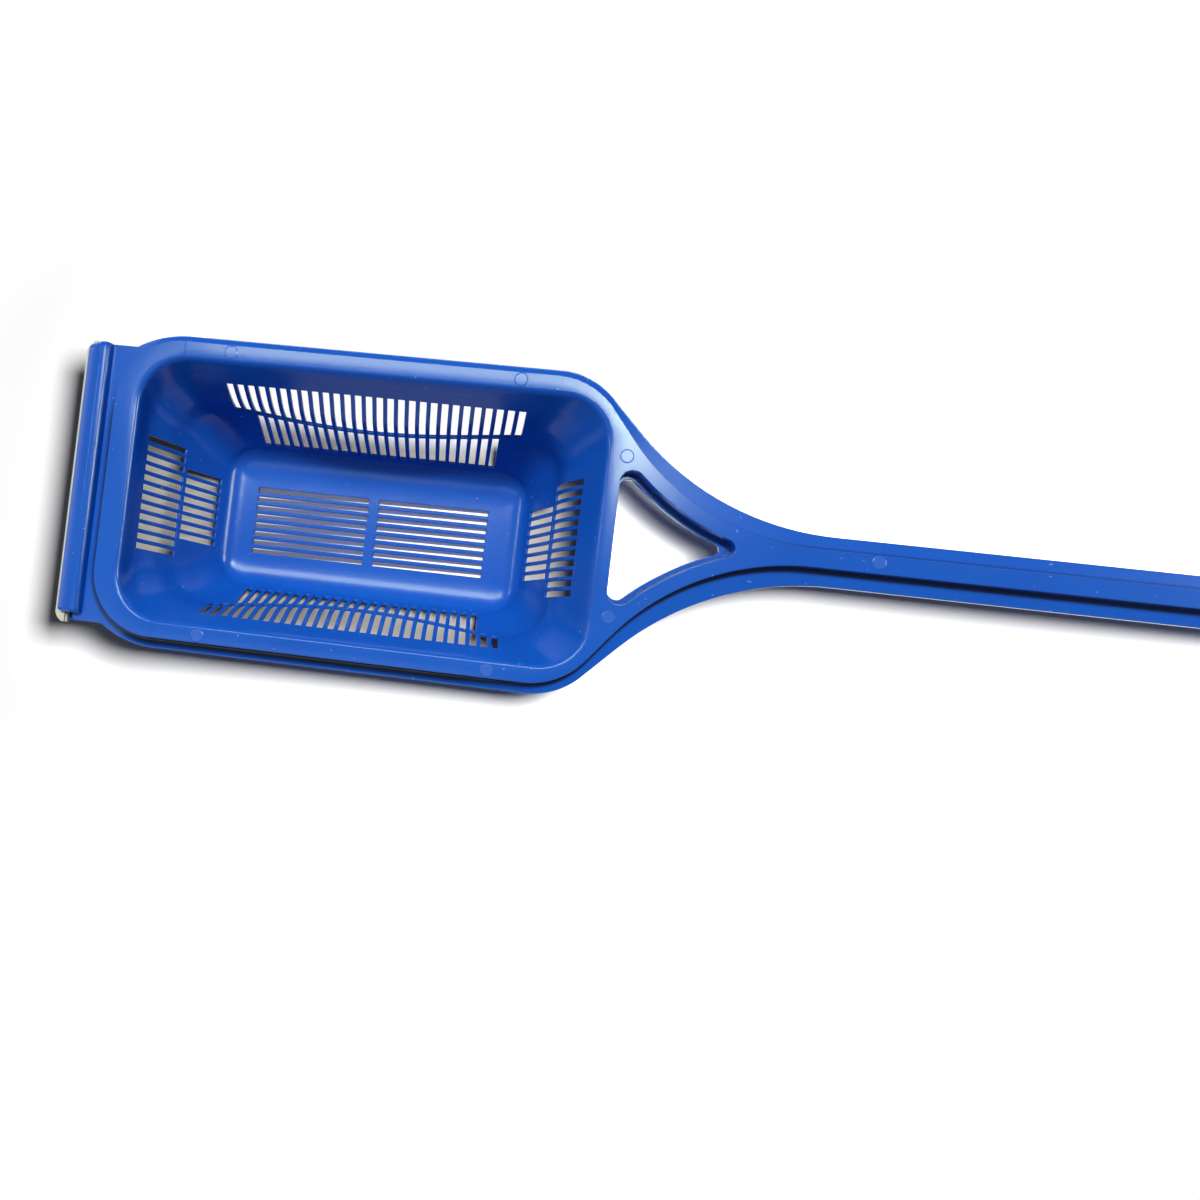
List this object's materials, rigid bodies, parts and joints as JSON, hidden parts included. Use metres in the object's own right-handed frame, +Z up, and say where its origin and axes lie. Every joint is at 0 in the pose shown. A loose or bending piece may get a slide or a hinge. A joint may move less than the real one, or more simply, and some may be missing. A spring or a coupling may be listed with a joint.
{
  "type": "leaf skimmer net",
  "caption": "Slotted scoop basket with a scraping lip and wiper strip, on a long straight handle ending in a grip and hook, for lifting leaves from a pool or pond.",
  "frame": {"origin": "centre of the basket floor's underside, where the tool stands on a surface", "axes": "+X runs along the handle from the scraping lip to the hook, +Y is the right-hand side seen from the grip, +Z is up out of the basket's mouth"},
  "size_m": [1.161, 0.143, 0.067],
  "materials": {
    "blue_plastic": "glossy moulded",
    "pale_rubber": "satin"
  },
  "bodies": {
    "moulding": {"floor_grille": "blue_plastic", "pan_front": "blue_plastic", "pan_left": "blue_plastic", "pan_rear": "blue_plastic", "pan_right": "blue_plastic", "wall_front": "blue_plastic", "wall_left": "blue_plastic", "wall_rear": "blue_plastic", "wall_right": "blue_plastic", "corner_front_left": "blue_plastic", "corner_front_right": "blue_plastic", "corner_rear_left": "blue_plastic", "corner_rear_right": "blue_plastic", "rim_front": "blue_plastic", "rim_left": "blue_plastic", "rim_rear": "blue_plastic", "rim_right": "blue_plastic", "rim_corner_front_left": "blue_plastic", "rim_corner_front_right": "blue_plastic", "rim_corner_rear_left": "blue_plastic", "rim_corner_rear_right": "blue_plastic", "yoke_arm_left": "blue_plastic", "yoke_arm_right": "blue_plastic", "yoke_throat": "blue_plastic", "handle": "blue_plastic", "grip": "blue_plastic", "neck": "blue_plastic", "hook": "blue_plastic", "lip_plate": "blue_plastic", "lip_clamp_bar": "blue_plastic", "lip_rail": "blue_plastic"},
    "wiper": {"wiper_strip": "pale_rubber"}
  },
  "joints": [
    {"name": "wiper_slide", "type": "slide", "parent": "moulding", "child": "wiper", "axis": [0, -1, 0], "range_m": [0, 0.11]}
  ]
}
